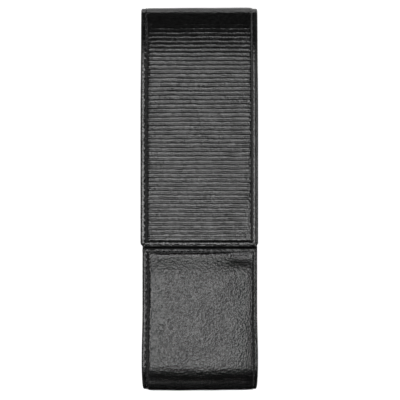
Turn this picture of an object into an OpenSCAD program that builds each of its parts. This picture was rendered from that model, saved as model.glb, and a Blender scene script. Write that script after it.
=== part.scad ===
// Slim leather case for two pens, lying on its back with the flap closed.
// X runs across the case, +Y towards the folded top, and +Z out of the front face.
// The origin is at the middle of the back face. Sizes are in millimetres.

/* [Overall size] */
// Length from the rounded bottom to the folded top
case_l = 160; // [140:1:190]
// Thickness from the back face to the front face
case_t = 23; // [21:0.5:30]
// Width of the pocket
body_w = 48.4; // [42:0.2:70]
// How far the flap stands out past the pocket on each side
flap_over = 0.3; // [0:0.1:1]
// Length of the front that the flap covers
flap_l = 100; // [88:1:112]

/* [Leather and layers] */
// Thickness of the outer leather
leather_t = 1.1; // [0.8:0.1:1.3]
// Thickness of the foam behind the facing and the back
padding_t = 0.8; // [0.5:0.1:1]
// Thickness of the stiffener boards of the facing and the back
board_t = 0.9; // [0.7:0.1:1.1]
// Thickness of the inner pocket's leather
pocket_leather_t = 0.7; // [0.5:0.1:0.8]
// Thickness of the stiffener in the inner front wall, and of the magnets in it
wall_board_t = 0.7; // [0.5:0.1:1]
// Thickness of the suede linings
lining_t = 0.4; // [0.3:0.1:0.5]
// Thickness of the foam in the flap
flap_padding_t = 0.5; // [0.3:0.1:0.6]
// Thickness of the gusset leather
gusset_t = 0.7; // [0.5:0.1:0.8]
// Gap between the closed flap and the inner front wall
flap_clear = 0.3; // [0.2:0.1:0.4]

/* [Hems] */
// Width of the stitched side hems
hem_w = 2.9; // [2.4:0.1:4]
// Width of the stitched hems at the mouth and at the flap's end
end_hem_w = 2.4; // [2:0.1:3.5]
// How far the hems lie below the padded middle
hem_drop = 0.8; // [0.5:0.1:1]
// Gap between the flap's end and the facing's top hem
mouth_gap = 0.4; // [0.3:0.1:1]

/* [Folds and turns] */
// Outer radius of the two folds at the top
fold_r = 4; // [3.5:0.5:5]
// Angle through which the flap eases back before its fold
top_ease_a = 20; // [10:1:28]
// Length of the flap's ease
top_ease_l = 20; // [12:1:26]
// Outer radius of the turn from the facing to the bottom
bottom_r = 7; // [6:0.5:9]
// Angle through which the facing eases back before that turn
bottom_ease_a = 20; // [10:1:25]
// Length of the facing's ease
bottom_ease_l = 8; // [5:1:12]
// Outer radius of the turn from the bottom to the back
bottom_back_r = 5; // [4.5:0.5:6]

/* [Pocket] */
// How far the inner front wall rises above the mouth, under the flap
wall_rise = 45; // [25:1:55]
// How far below the top the gussets end on the back
gusset_drop = 20; // [12:1:30]
// Thickness of the divider between the pens
divider_t = 1; // [0.6:0.1:2]
// Height of the divider above the bottom
divider_h = 85; // [40:1:100]

/* [Magnets] */
// Diameter of the disc magnets
magnet_d = 10; // [6:1:12]
// Distance between the two magnets, centre to centre
magnet_gap = 20; // [14:1:22]
// Distance from the flap's end to the magnets' centres
magnet_inset = 14; // [11:1:18]
// Clearance round a magnet in its pocket
magnet_clear = 0.1; // [0.05:0.05:0.3]

/* [Ribs] */
// Distance from rib to rib
rib_pitch = 1.8; // [1.4:0.1:3]
// Height of a rib
rib_h = 0.25; // [0.1:0.05:0.4]
// Width of a rib at its crest
rib_crest_w = 0.5; // [0.3:0.1:0.7]
// Width of a rib at its foot
rib_foot_w = 1; // [0.8:0.1:1.2]

/* [Stitching] */
// Distance from stitch to stitch
stitch_pitch = 2.5; // [2:0.1:4]
// Length of a stitch
stitch_l = 1.7; // [1.2:0.1:1.9]
// Width of the thread
thread_w = 0.5; // [0.3:0.1:0.7]
// Height of the outer stitches above the hem
thread_h = 0.3; // [0.2:0.05:0.45]
// Height of the stitches on the inner wall
wall_thread_h = 0.15; // [0.1:0.05:0.15]
// Distance from the padded middle to the stitch line
seam_set = 0.5; // [0.4:0.1:0.8]

/* [Hidden] */
$fn = 48;

// How far a cut runs past the face that it leaves by
cut = 0.5;
// Flat steps in a tight turn and in a gentle ease
turn_steps = 9;
ease_steps = 8;

// Half widths, measured from the middle of the case
body_half = body_w / 2;
flap_half = body_half + flap_over;
web_x = body_half - hem_w - gusset_t;

// Depths below the outer face
stack_d = leather_t + padding_t + board_t;
wall_d = stack_d + pocket_leather_t;
wall_lining_d = wall_d + wall_board_t;
flap_inner_d = stack_d - flap_clear;
flap_lining_d = flap_inner_d - lining_t;
flap_board_d = leather_t + flap_padding_t;
bridge_lining_d = stack_d - lining_t;

// Ends along the case
top_y = case_l / 2;
bottom_y = -case_l / 2;
flap_end_y = top_y - flap_l;
mouth_y = flap_end_y - mouth_gap;
wall_top_y = mouth_y + wall_rise;
back_end_y = top_y - fold_r;
gusset_end_y = top_y - gusset_drop;
divider_top_y = bottom_y + divider_h;
magnet_y = flap_end_y + magnet_inset;

// Centres of the arcs at the bottom, seen from the side as [y, z]
bottom_ease_r = bottom_ease_l / sin(bottom_ease_a);
bottom_join_a = 90 + bottom_ease_a;
bottom_turn = [
    bottom_y + bottom_r,
    case_t - bottom_ease_r + (bottom_ease_r - bottom_r) * sin(bottom_join_a)
];
bottom_ease = [
    bottom_turn[0] - (bottom_ease_r - bottom_r) * cos(bottom_join_a),
    case_t - bottom_ease_r
];
bottom_back = [bottom_y + bottom_back_r, bottom_back_r];

// Centres of the arcs at the top
top_ease_r = top_ease_l / sin(top_ease_a);
top_join_a = 90 - top_ease_a;
back_fold = [back_end_y, fold_r];
front_fold = [back_end_y, case_t - top_ease_r + (top_ease_r - fold_r) * sin(top_join_a)];
top_ease = [front_fold[0] - (top_ease_r - fold_r) * cos(top_join_a), case_t - top_ease_r];

// A path follows the outer face in side view. Each point is [y, z, direction of the outward normal].
function arc_path(centre, r, from, to, steps) = [
    for (i = [0:steps])
        let (a = from + (to - from) * i / steps)
        [centre[0] + r * cos(a), centre[1] + r * sin(a), a]
];

// Joins two paths that share a point
function join(first, second) = concat(first, [for (i = [1:len(second) - 1]) second[i]]);

// The point at a depth below a path point
function inward(p, d) = [p[0] - d * cos(p[2]), p[1] - d * sin(p[2])];

// The outline of a layer between two depths
function layer(path, d0, d1) = concat(
    [for (p = path) inward(p, d0)],
    [for (i = [len(path) - 1:-1:0]) inward(path[i], d1)]
);

function step_l(path, i) = norm([path[i + 1][0] - path[i][0], path[i + 1][1] - path[i][1]]);
function path_l(path, i = 0) = i > len(path) - 2 ? 0 : step_l(path, i) + path_l(path, i + 1);

// The path point at a distance along a path
function along(path, s, i = 0) =
    s <= step_l(path, i) || i == len(path) - 2
    ? path[i] + (path[i + 1] - path[i]) * s / step_l(path, i)
    : along(path, s - step_l(path, i), i + 1);

// Stretches of the strip, in order from the mouth to the flap's end
facing_path = [[mouth_y, case_t, 90], [bottom_ease[0], case_t, 90]];
wall_path = [[wall_top_y, case_t, 90], [bottom_ease[0], case_t, 90]];
end_face_path = [[bottom_y, bottom_turn[1], 180], [bottom_y, bottom_back_r, 180]];
bottom_path = join(
    join(
        join(
            arc_path(bottom_ease, bottom_ease_r, 90, bottom_join_a, ease_steps),
            arc_path(bottom_turn, bottom_r, bottom_join_a, 180, turn_steps)
        ),
        end_face_path
    ),
    arc_path(bottom_back, bottom_back_r, 180, 270, turn_steps)
);
back_path = [[bottom_back[0], 0, 270], [back_end_y, 0, 270]];
back_fold_path = arc_path(back_fold, fold_r, 270, 360, turn_steps);
bridge_path = [[top_y, fold_r, 360], [top_y, front_fold[1], 360]];
front_fold_path = arc_path(front_fold, fold_r, 360, 360 + top_join_a, turn_steps);
flap_path = join(
    arc_path(top_ease, top_ease_r, 360 + top_join_a, 450, ease_steps),
    [[top_ease[0], case_t, 450], [flap_end_y, case_t, 450]]
);

// The path made longer at its start and its end, or shorter where the length is negative
function run_on(path, at_start, at_end) =
    let (last = len(path) - 1)
    [for (i = [0:last])
        let (move = i == 0 ? -at_start : i == last ? at_end : 0)
        [path[i][0] - move * sin(path[i][2]), path[i][1] + move * cos(path[i][2]), path[i][2]]
    ];

// Extrudes a side outline across the case, from x0 to x1
module across(x0, x1)
    translate([x0, 0, 0]) rotate([90, 0, 90]) linear_extrude(x1 - x0) children();

// One layer of the strip, centred on the case
module band(path, d0, d1, half)
    across(-half, half) polygon(layer(path, d0, d1));

// The two hems of a stretch of leather, from the padded middle out to the edge
module side_hems(path, d0, d1, half)
    for (side = [0, 1]) mirror([side, 0, 0])
        across(half - hem_w - leather_t, half) polygon(layer(path, d0, d1));

// One stitch lying on the leather
module stitch(height)
    translate([-thread_w / 2, -stitch_l / 2, 0]) cube([thread_w, stitch_l, height]);

// A row of stitches along a path, between two distances along it
module seam_along(path, x, d, from, to, height) {
    count = floor((to - from) / stitch_pitch);
    for (i = [0:count - 1]) {
        p = along(path, from + (i + 0.5) * (to - from) / count);
        translate([x, p[0], p[1]]) rotate([p[2] - 90, 0, 0]) translate([0, 0, -d]) stitch(height);
    }
}

// A row of stitches across the case
module seam_across(y, z, half, height) {
    count = floor(2 * half / stitch_pitch);
    for (i = [0:count - 1])
        translate([-half + (i + 0.5) * 2 * half / count, y, z]) rotate([0, 0, 90]) stitch(height);
}

// Two discs side by side, with their lower faces at z
module disc_pair(z, d, t)
    for (side = [-1, 1])
        translate([side * magnet_gap / 2, magnet_y, z]) cylinder(d = d, h = t);

// Facing, bottom and back in one strip, with a raised middle and turned hems
module outer_leather() {
    strip_path = join(join(facing_path, bottom_path), back_path);
    color("#2b2b2b") difference() {
        union() {
            band(strip_path, hem_drop, stack_d, body_half);
            band(run_on(strip_path, -end_hem_w, 0), 0, stack_d, body_half - hem_w);
        }
        band(
            run_on(strip_path, -end_hem_w - leather_t, cut), leather_t, stack_d + cut,
            body_half - hem_w - leather_t
        );
    }
}

hollow_half = body_half - hem_w - leather_t;
facing_fill_path = run_on(facing_path, -end_hem_w - leather_t, 0);

module facing_padding()
    color("#4a4a46") band(facing_fill_path, leather_t, leather_t + padding_t, hollow_half);

module facing_board()
    color("#8a7a62") band(facing_fill_path, leather_t + padding_t, stack_d, hollow_half);

module bottom_stay()
    color("#7a6c58") band(bottom_path, leather_t, stack_d, hollow_half);

module back_padding()
    color("#4a4a46") band(back_path, leather_t, leather_t + padding_t, hollow_half);

module back_board()
    color("#8a7a62") band(back_path, leather_t + padding_t, stack_d, hollow_half);

// Inner pocket strip, down the inner wall, round the bottom and up the back
module pocket_leather()
    color("#1f1f1f")
        band(join(join(wall_path, bottom_path), back_path), stack_d, wall_d, body_half);

module wall_board()
    color("#8a7a62") difference() {
        band(wall_path, wall_d, wall_lining_d, web_x);
        disc_pair(case_t - wall_lining_d - cut, magnet_d + 2 * magnet_clear, wall_board_t + 2 * cut);
    }

module catch_magnets()
    color("#b9bcc0") disc_pair(case_t - wall_lining_d, magnet_d, wall_board_t);

module wall_lining()
    color("#26262a") band(wall_path, wall_lining_d, wall_lining_d + lining_t, web_x);

module pocket_lining()
    color("#26262a") band(join(bottom_path, back_path), wall_d, wall_d + lining_t, web_x);

// Side wall set in from the edge, with a flange that the side seam catches
module gusset() {
    back_run = [[bottom_back[0], 0, 270], [gusset_end_y, 0, 270]];
    path = join(join(wall_path, bottom_path), back_run);
    across(web_x, web_x + gusset_t) polygon([for (p = path) inward(p, wall_d)]);
    across(web_x, body_half) polygon(layer(path, wall_d, wall_d + gusset_t));
}

module left_gusset()
    color("#1f1f1f") mirror([1, 0, 0]) gusset();

module right_gusset()
    color("#1f1f1f") gusset();

// Divider that stands between the two pens, from lining to lining
module pen_divider() {
    front_z = case_t - wall_lining_d - lining_t;
    back_z = wall_d + lining_t;
    outline = concat(
        [[divider_top_y, front_z], [bottom_ease[0], front_z]],
        [for (p = bottom_path) inward(p, wall_d + lining_t)],
        [[divider_top_y, back_z]]
    );
    color("#26262a") across(-divider_t / 2, divider_t / 2) polygon(outline);
}

// Side seam of the pocket, down the facing, round the bottom and up the back
module side_seam() {
    path = join(join(facing_path, bottom_path), back_path);
    x = body_half - hem_w + seam_set;
    seam_along(path, x, hem_drop, end_hem_w, path_l(path), thread_h);
}

module left_seam_thread()
    color("#101010") mirror([1, 0, 0]) side_seam();

module right_seam_thread()
    color("#101010") side_seam();

module mouth_seam_thread()
    color("#101010")
        seam_across(mouth_y - end_hem_w + seam_set, case_t - hem_drop, body_half - hem_w, thread_h);

module wall_seam_thread()
    color("#101010")
        seam_across(wall_top_y - end_hem_w, case_t - stack_d, body_half - hem_w, wall_thread_h);

// A fold is one layer of leather, with no stiffener, so that it can bend
module fold_leather(path, half)
    color("#2b2b2b") {
        band(path, 0, leather_t, half - hem_w);
        side_hems(path, hem_drop, hem_drop + leather_t, half);
    }

module fold_lining(path, half)
    color("#26262a") band(path, leather_t, leather_t + lining_t, half - hem_w - leather_t);

module back_fold_leather()
    fold_leather(back_fold_path, body_half);

module back_fold_lining()
    fold_lining(back_fold_path, body_half);

module front_fold_leather()
    fold_leather(front_fold_path, flap_half);

module front_fold_lining()
    fold_lining(front_fold_path, flap_half);

// Top face between the two folds
module bridge_leather()
    color("#2b2b2b") difference() {
        union() {
            band(bridge_path, hem_drop, stack_d, flap_half);
            band(bridge_path, 0, stack_d, flap_half - hem_w);
        }
        band(
            run_on(bridge_path, cut, cut), leather_t, stack_d + cut, flap_half - hem_w - leather_t
        );
    }

module bridge_stay()
    color("#8a7a62")
        band(bridge_path, leather_t, bridge_lining_d, flap_half - hem_w - leather_t);

module bridge_lining()
    color("#26262a")
        band(bridge_path, bridge_lining_d, stack_d, flap_half - hem_w - leather_t);

module bridge_seam_thread()
    color("#101010") for (side = [-1, 1])
        seam_along(
            bridge_path, side * (flap_half - hem_w + seam_set), hem_drop, 0, path_l(bridge_path),
            thread_h
        );

// Side outline of the flap's raised middle: ribs outside, smooth inside
flap_run = path_l(flap_path);
ribbed_run = flap_run - end_hem_w;
rib_count = floor(ribbed_run / rib_pitch);
rib_start = (ribbed_run - rib_count * rib_pitch) / 2;

function rib_points(i) =
    let (mid = rib_start + (i + 0.5) * rib_pitch)
    [
        inward(along(flap_path, mid - rib_foot_w / 2), rib_h),
        inward(along(flap_path, mid - rib_crest_w / 2), 0),
        inward(along(flap_path, mid + rib_crest_w / 2), 0),
        inward(along(flap_path, mid + rib_foot_w / 2), rib_h)
    ];

ribbed_outline = concat(
    [inward(flap_path[0], rib_h)],
    [for (i = [0:rib_count - 1], p = rib_points(i)) p],
    [inward(along(flap_path, ribbed_run), rib_h), inward(along(flap_path, ribbed_run), flap_inner_d)],
    [for (i = [ease_steps:-1:0]) inward(flap_path[i], flap_inner_d)]
);

flap_hollow_half = flap_half - hem_w - leather_t;
flap_fill_path = run_on(flap_path, 0, -end_hem_w - leather_t);

module flap_leather()
    color("#303030") difference() {
        union() {
            band(flap_path, hem_drop, flap_inner_d, flap_half);
            across(hem_w - flap_half, flap_half - hem_w) polygon(ribbed_outline);
        }
        band(
            run_on(flap_path, cut, -end_hem_w - leather_t), leather_t, flap_inner_d + cut,
            flap_hollow_half
        );
    }

module magnet_holes()
    disc_pair(
        case_t - flap_lining_d - cut, magnet_d + 2 * magnet_clear, flap_lining_d - leather_t + 2 * cut
    );

module flap_padding()
    color("#4a4a46") difference() {
        band(flap_fill_path, leather_t, flap_board_d, flap_hollow_half);
        magnet_holes();
    }

module flap_board()
    color("#8a7a62") difference() {
        band(flap_fill_path, flap_board_d, flap_lining_d, flap_hollow_half);
        magnet_holes();
    }

module flap_lining()
    color("#26262a") band(flap_fill_path, flap_lining_d, flap_inner_d, flap_hollow_half);

module flap_magnets()
    color("#b9bcc0")
        disc_pair(case_t - flap_lining_d, magnet_d, flap_lining_d - leather_t);

module flap_seam_thread()
    color("#101010") {
        for (side = [-1, 1])
            seam_along(
                flap_path, side * (flap_half - hem_w + seam_set), hem_drop, 0,
                flap_run - end_hem_w, thread_h
            );
        seam_across(
            flap_end_y + end_hem_w - seam_set, case_t - hem_drop, flap_half - hem_w, thread_h
        );
    }

outer_leather();
facing_padding();
facing_board();
bottom_stay();
back_padding();
back_board();
pocket_leather();
wall_board();
catch_magnets();
wall_lining();
pocket_lining();
left_gusset();
right_gusset();
pen_divider();
left_seam_thread();
right_seam_thread();
mouth_seam_thread();
wall_seam_thread();
back_fold_leather();
back_fold_lining();
bridge_leather();
bridge_stay();
bridge_lining();
bridge_seam_thread();
front_fold_leather();
front_fold_lining();
flap_leather();
flap_padding();
flap_board();
flap_lining();
flap_magnets();
flap_seam_thread();
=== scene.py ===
# %% [markdown]
# # A slim leather pen case
# The case is one long strip of black calf leather. It starts at the flap's end, runs over the top,
# down the back, round the bottom and up the facing to the mouth of the pocket. An inner pocket, two
# side gussets and a divider hold the pens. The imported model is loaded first, as the fixed frame that
# every piece has to fit. This lesson gives it soft shapes, seams and finishes.

# %% Load the frame
import math

import bpy
import numpy as np
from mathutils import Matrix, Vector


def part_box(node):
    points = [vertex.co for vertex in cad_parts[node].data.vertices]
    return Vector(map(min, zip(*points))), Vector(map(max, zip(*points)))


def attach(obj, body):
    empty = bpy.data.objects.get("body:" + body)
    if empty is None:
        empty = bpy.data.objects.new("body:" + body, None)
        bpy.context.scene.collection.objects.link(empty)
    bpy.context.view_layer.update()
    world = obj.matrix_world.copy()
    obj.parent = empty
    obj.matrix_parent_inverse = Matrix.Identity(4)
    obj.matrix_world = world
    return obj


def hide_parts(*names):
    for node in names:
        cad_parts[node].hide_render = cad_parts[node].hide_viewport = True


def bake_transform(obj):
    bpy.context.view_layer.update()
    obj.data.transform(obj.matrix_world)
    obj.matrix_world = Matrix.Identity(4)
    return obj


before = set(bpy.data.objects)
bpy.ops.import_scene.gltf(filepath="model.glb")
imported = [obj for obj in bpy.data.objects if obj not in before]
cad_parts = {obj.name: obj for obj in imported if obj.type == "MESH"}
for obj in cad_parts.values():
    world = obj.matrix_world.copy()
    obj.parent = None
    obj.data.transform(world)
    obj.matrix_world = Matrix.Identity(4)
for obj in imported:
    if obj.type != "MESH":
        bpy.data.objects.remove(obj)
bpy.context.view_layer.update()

# %% [markdown]
# ## Sizes
# A leather worker thinks in millimetres, so this script does too, and turns them into metres only
# when a mesh gets its final place. Lengths and widths are read from the frame's own boxes. The few
# radii that a box can't tell are named here.

# %% Sizes in millimetres
MM = 0.001


def low_high(node):
    """Lowest and highest corner of a node of the frame, in millimetres."""
    low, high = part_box(node)
    return np.array(low) / MM, np.array(high) / MM


LEATHER_T = 1.1
HEM_DROP = 0.8
END_HEM_W = 2.4
BOTTOM_R = 7.0
EASE_A = 20.0
TOP_EASE_L = 20.0
BOTTOM_EASE_L = 6.5

(_, BOTTOM_Y, _), (BODY_HALF, BACK_END_Y, CASE_T) = low_high("outer_leather")
(_, FLAP_END_Y, _), (FLAP_HALF, _, _) = low_high("flap_leather")
TOP_Y = low_high("bridge_leather")[1][1]
FOLD_R = TOP_Y - BACK_END_Y
BOTTOM_BACK_R = low_high("back_board")[0][1] - BOTTOM_Y
MOUTH_Y = low_high("facing_padding")[1][1] + END_HEM_W + LEATHER_T
WALL_TOP_Y = low_high("wall_board")[1][1]
GUSSET_TOP_Y = low_high("left_gusset")[1][1]
GUSSET_X = low_high("right_gusset")[0][0]
STACK_D = CASE_T - low_high("facing_board")[0][2]
FLAP_STACK_D = CASE_T - low_high("flap_lining")[0][2]
WALL_D = CASE_T - low_high("wall_board")[1][2]
WALL_LINING_D = CASE_T - low_high("wall_lining")[1][2]
print(f"case {TOP_Y - BOTTOM_Y:.1f} x {2 * FLAP_HALF:.1f} x {CASE_T:.1f} mm, mouth at {MOUTH_Y:.1f}")

# %% [markdown]
# ## The outline
# Seen from the side, the outer face of the case is a chain of straight lines and arcs. Every layer
# follows it at its own depth. So each piece can be cut flat, as on the bench, and then wrapped: a
# place on it is how far across (x), how far along the chain (s) and how deep below the outer face.
# The chain starts at the flap's end and finishes at the top of the inner wall.

# %% The chain of lines and arcs
def arc(centre, radius, start, end):
    """Points of an arc: y, z and the direction of the outward normal in degrees."""
    a = np.linspace(start, end, int(abs(end - start)) + 2)
    turn = np.radians(a)
    return np.column_stack([centre[0] + radius * np.cos(turn), centre[1] + radius * np.sin(turn), a])


def line(start, end, a):
    return np.array([[*start, a], [*end, a]])


ease_sin, ease_cos = math.sin(math.radians(EASE_A)), math.cos(math.radians(EASE_A))
top_ease_r = TOP_EASE_L / ease_sin
bottom_ease_r = BOTTOM_EASE_L / ease_sin
back_fold_at = (BACK_END_Y, FOLD_R)
front_fold_at = (BACK_END_Y, CASE_T - top_ease_r + (top_ease_r - FOLD_R) * ease_cos)
top_ease_at = (BACK_END_Y - (top_ease_r - FOLD_R) * ease_sin, CASE_T - top_ease_r)
bottom_back_at = (BOTTOM_Y + BOTTOM_BACK_R, BOTTOM_BACK_R)
bottom_turn_at = (
    BOTTOM_Y + BOTTOM_R,
    CASE_T - bottom_ease_r + (bottom_ease_r - BOTTOM_R) * ease_cos,
)
bottom_ease_at = (bottom_turn_at[0] + (bottom_ease_r - BOTTOM_R) * ease_sin, CASE_T - bottom_ease_r)

stretches = {
    "flap": line((FLAP_END_Y, CASE_T), (top_ease_at[0], CASE_T), 90),
    "top_ease": arc(top_ease_at, top_ease_r, 90, 90 - EASE_A),
    "front_fold": arc(front_fold_at, FOLD_R, 90 - EASE_A, 0),
    "bridge": line((TOP_Y, front_fold_at[1]), (TOP_Y, FOLD_R), 0),
    "back_fold": arc(back_fold_at, FOLD_R, 0, -90),
    "back": line((BACK_END_Y, 0), (bottom_back_at[0], 0), -90),
    "bottom_back": arc(bottom_back_at, BOTTOM_BACK_R, -90, -180),
    "end_face": line((BOTTOM_Y, BOTTOM_BACK_R), (BOTTOM_Y, bottom_turn_at[1]), -180),
    "bottom_turn": arc(bottom_turn_at, BOTTOM_R, -180, -270 + EASE_A),
    "bottom_ease": arc(bottom_ease_at, bottom_ease_r, -270 + EASE_A, -270),
    "facing": line((bottom_ease_at[0], CASE_T), (MOUTH_Y, CASE_T), -270),
    "wall": line((MOUTH_Y, CASE_T), (WALL_TOP_Y, CASE_T), -270),
}
chain = np.vstack(list(stretches.values()))
chain_s = np.append(0, np.cumsum(np.hypot(*np.diff(chain[:, :2], axis=0).T)))
new_point = np.append(True, np.diff(chain_s) > 1e-6)
chain, chain_s = chain[new_point], chain_s[new_point]

START, END, walked = {}, {}, 0.0
for stretch, points in stretches.items():
    START[stretch] = walked
    walked += np.hypot(*np.diff(points[:, :2], axis=0).T).sum()
    END[stretch] = walked
MOUTH_S = END["facing"]
MID_BRIDGE = (START["bridge"] + END["bridge"]) / 2
print("from the flap's end to the mouth:", round(MOUTH_S, 1), "mm")


# %% Wrap a flat point round the case
ASKEW = 0.22
ASKEW_RUN = 60


def eased(t):
    """0 below 0, 1 above 1, and smooth between."""
    t = np.clip(t, 0, 1)
    return t * t * (3 - 2 * t)


def askew(s):
    """A hand-sewn case is never quite true: the pocket sits a little to the right of the flap."""
    return ASKEW * eased((s - END["back_fold"]) / ASKEW_RUN)


def wrap(x, s, depth):
    """Points in metres for flat places in millimetres: across, along, and below the outer face."""
    x = x + askew(s)
    y = np.interp(s, chain_s, chain[:, 0])
    z = np.interp(s, chain_s, chain[:, 1])
    a = np.radians(np.interp(s, chain_s, chain[:, 2]))
    return np.column_stack([x, y - depth * np.cos(a), z - depth * np.sin(a)]) * MM


print("the pocket sits", ASKEW, "mm to the right of the flap")

# %% [markdown]
# ## Working with pieces
# An operator in Blender acts on whatever is selected, and the frame's nodes are selected after they
# load. So everything is deselected before each new primitive. These small helpers start a piece,
# read and write its points, and apply a modifier for good.

# %% Helpers for meshes
def deselect():
    bpy.ops.object.select_all(action="DESELECT")


def called(name):
    """The newly added object, with its name."""
    piece = bpy.context.object
    piece.name = name
    piece.data.name = name
    return piece


def points_of(piece):
    co = np.empty(len(piece.data.vertices) * 3)
    piece.data.vertices.foreach_get("co", co)
    return co.reshape(-1, 3)


def set_points(piece, points):
    piece.data.vertices.foreach_set("co", np.ascontiguousarray(points, np.float32).ravel())
    piece.data.update()


def apply_modifier(piece, kind, **settings):
    modifier = piece.modifiers.new(kind.title(), kind)
    for setting, value in settings.items():
        setattr(modifier, setting, value)
    bpy.context.view_layer.objects.active = piece
    bpy.ops.object.modifier_apply(modifier=modifier.name)


def smooth(piece, angle=50):
    """Smooth shading, except across edges sharper than the angle."""
    deselect()
    piece.select_set(True)
    bpy.context.view_layer.objects.active = piece
    bpy.ops.object.shade_smooth_by_angle(angle=math.radians(angle))


def size_line(piece):
    faces = sum(len(p.vertices) - 2 for p in piece.data.polygons)
    print(f"{piece.name}: {faces} triangles")


# %% [markdown]
# ## Cutting a strip
# A layer is a grid, thickened by Solidify while it is still flat. Its columns and rows are then
# moved to where the detail is: close together at the hems and the ribs, and far apart elsewhere.
# Last, each of its two faces gets its own depth, and the strip is wrapped round the case.

# %% One layer of the strip
def strip(name, columns, rows, outer, inner, plan=None):
    """A closed layer. outer and inner give a depth for each x and s, and plan moves points flat."""
    deselect()
    last_column, last_row = len(columns) - 1, len(rows) - 1
    bpy.ops.mesh.primitive_grid_add(x_subdivisions=last_column, y_subdivisions=last_row, size=2)
    piece = called(name)
    apply_modifier(piece, "SOLIDIFY", thickness=1, offset=0)
    grid = points_of(piece)
    x = np.asarray(columns)[np.rint((grid[:, 0] + 1) / 2 * last_column).astype(int)]
    s = np.asarray(rows)[np.rint((grid[:, 1] + 1) / 2 * last_row).astype(int)]
    on_top = grid[:, 2] > 0
    if plan:
        x, s = plan(x, s)
    depth = np.where(on_top, outer(x, s), inner(x, s))
    set_points(piece, wrap(x, s, depth))
    return piece, x, s, on_top


def spaced(start, end, step):
    """Evenly spaced places from start to end, about a step apart."""
    return np.linspace(start, end, max(2, int(round(abs(end - start) / step)) + 1))


def joined(*parts):
    """The places of all parts in order, each once."""
    return np.unique(np.round(np.concatenate(parts), 4))


def mirrored(parts):
    """Places on both sides of the middle."""
    return joined(-parts, parts)


# %% [markdown]
# ## The relief of the outer leather
# The middle is padded and the hems are pressed flat, so the leather steps down at each seam. From the
# edge inwards there is a rolled edge, the groove where the thread pulls the leather down, and then
# the swell of the padding. The right side also has a creased line, run in with a hot iron. Each is a
# short formula of the distance from the edge. The small numbers in these formulas are millimetres,
# and the ones that a maker would set have a name.

# %% Hems, seams and padding
# Distances of the left and the right seam from the edge.
POCKET_SEAMS = (1.85, 1.65)
FLAP_SEAMS = (2.1, 2.45)
FLAP_END_SEAM = 2.0
MOUTH_SEAM = 1.5
SEAM_PITCH = 2.5
CORNER_R = 2.0
# How much the width changes on each side, high on the flap, at the mouth and round the bottom.
FLAP_TAPER = 0.2
WAIST = 0.31
BELLY = 0.05
TUCK = 0.4
# Depths of the stitch holes and of the creased line, how far they pull the padding, and the edge.
HOLE_D = 0.13
END_HOLE_D = 0.18
CREASE_D = 0.1
PUCKER = 0.12
END_PUCKER = 0.2
HEM_SLOPE = 0.075
EDGE_R = 0.45


def hump(t, at, wide):
    """1 at a place, and falling off smoothly on both sides of it."""
    return np.exp(-(((t - at) / wide) ** 2))


def half_width(s):
    """Half the width: the flap wider low down, and the pocket drawn in at its mouth and bottom."""
    flap_share = 1 - eased((s - START["bridge"]) / (END["bridge"] - START["bridge"]))
    half = BODY_HALF + (FLAP_HALF - BODY_HALF) * flap_share
    half = half - FLAP_TAPER * eased((s - 55) / 30) * flap_share
    waist = eased((s - END["bottom_ease"] - 2) / 22)
    belly = hump(s, END["bottom_ease"], 10)
    tuck = hump(s, START["bottom_turn"], 8)
    return half - WAIST * waist + BELLY * belly - TUCK * tuck


def rolled(e, r):
    """How far an edge of radius r falls away, at a distance e from it."""
    return np.where(e < r, r - np.sqrt(np.maximum(r * r - (r - e) ** 2, 0)), 0)


def groove(e, at, deep, wide):
    return deep * hump(e, at, wide)


def seam_at(x, s):
    """The distance of the side seam from the edge, which the maker hasn't kept quite the same."""
    on_flap, on_pocket = np.where(x < 0, *FLAP_SEAMS), np.where(x < 0, *POCKET_SEAMS)
    return on_flap + (on_pocket - on_flap) * eased((s - START["bridge"]) / 15)


def swell(e, start=2.5, reach=0.6):
    """0 on the hem and 1 on the padded middle."""
    return 1 - np.exp(-np.maximum(e - start, 0) / reach)


def side_swell(x, s, u, slack):
    """The padding rises in one curve from the left seam. On the right a share of it can be slack."""
    seam_u = seam_at(x, s)
    right = (1 - slack) * swell(u, seam_u - 0.3, 0.3) + slack * swell(u, seam_u - 0.1, 2.4)
    return np.where(x < 0, swell(u, seam_u + 0.1, 0.5), right)


def round_corner(x, s, end_s, towards, r=CORNER_R):
    """Moves the points near the two corners of an end on to a round corner."""
    half = half_width(s)
    v = (s - end_s) * towards
    a, b = np.clip(r - (half - np.abs(x)), 0, r), np.clip(r - v, 0, r)
    near = (a > 0) & (b > 0)
    a2, b2 = a * np.sqrt(1 - b * b / (2 * r * r)), b * np.sqrt(1 - a * a / (2 * r * r))
    x = np.where(near, np.sign(x) * (half - r + a2), x)
    s = np.where(near, end_s + towards * (r - b2), s)
    return x, s


def edge_distance(x, s, end_s, towards, r=CORNER_R):
    """Distance from the side edge, from the end edge, and from the rounded outline."""
    u, v = half_width(s) - np.abs(x), (s - end_s) * towards
    a, b = np.clip(r - u, 0, r), np.clip(r - v, 0, r)
    corner = (a > 0) & (b > 0)
    return u, v, np.where(corner, r - np.hypot(a, b), np.minimum(u, v))


def ripple(x, s, seed, size, wave):
    """Low unevenness of a hand-finished surface: a few long waves in seeded directions."""
    draw = np.random.default_rng(seed)
    total = np.zeros_like(x)
    for _ in range(7):
        a = draw.uniform(0, np.pi)
        k = 2 * np.pi / (wave * draw.uniform(0.7, 1.6))
        phase = draw.uniform(0, 6.3)
        total += np.sin(k * (x * np.cos(a) + s * np.sin(a)) + phase)
    return size * total / 2.6


def drop_at(s):
    """How far the hems lie below the middle: less over the folded top and the round bottom."""
    top = eased((s - START["top_ease"] - 14) / 6) * eased((END["back_fold"] + 6 - s) / 6)
    bottom = eased((s - START["bottom_back"] + 4) / 6) * eased((END["bottom_turn"] + 1 - s) / 6)
    return HEM_DROP - 0.5 * top - 0.35 * bottom


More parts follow.
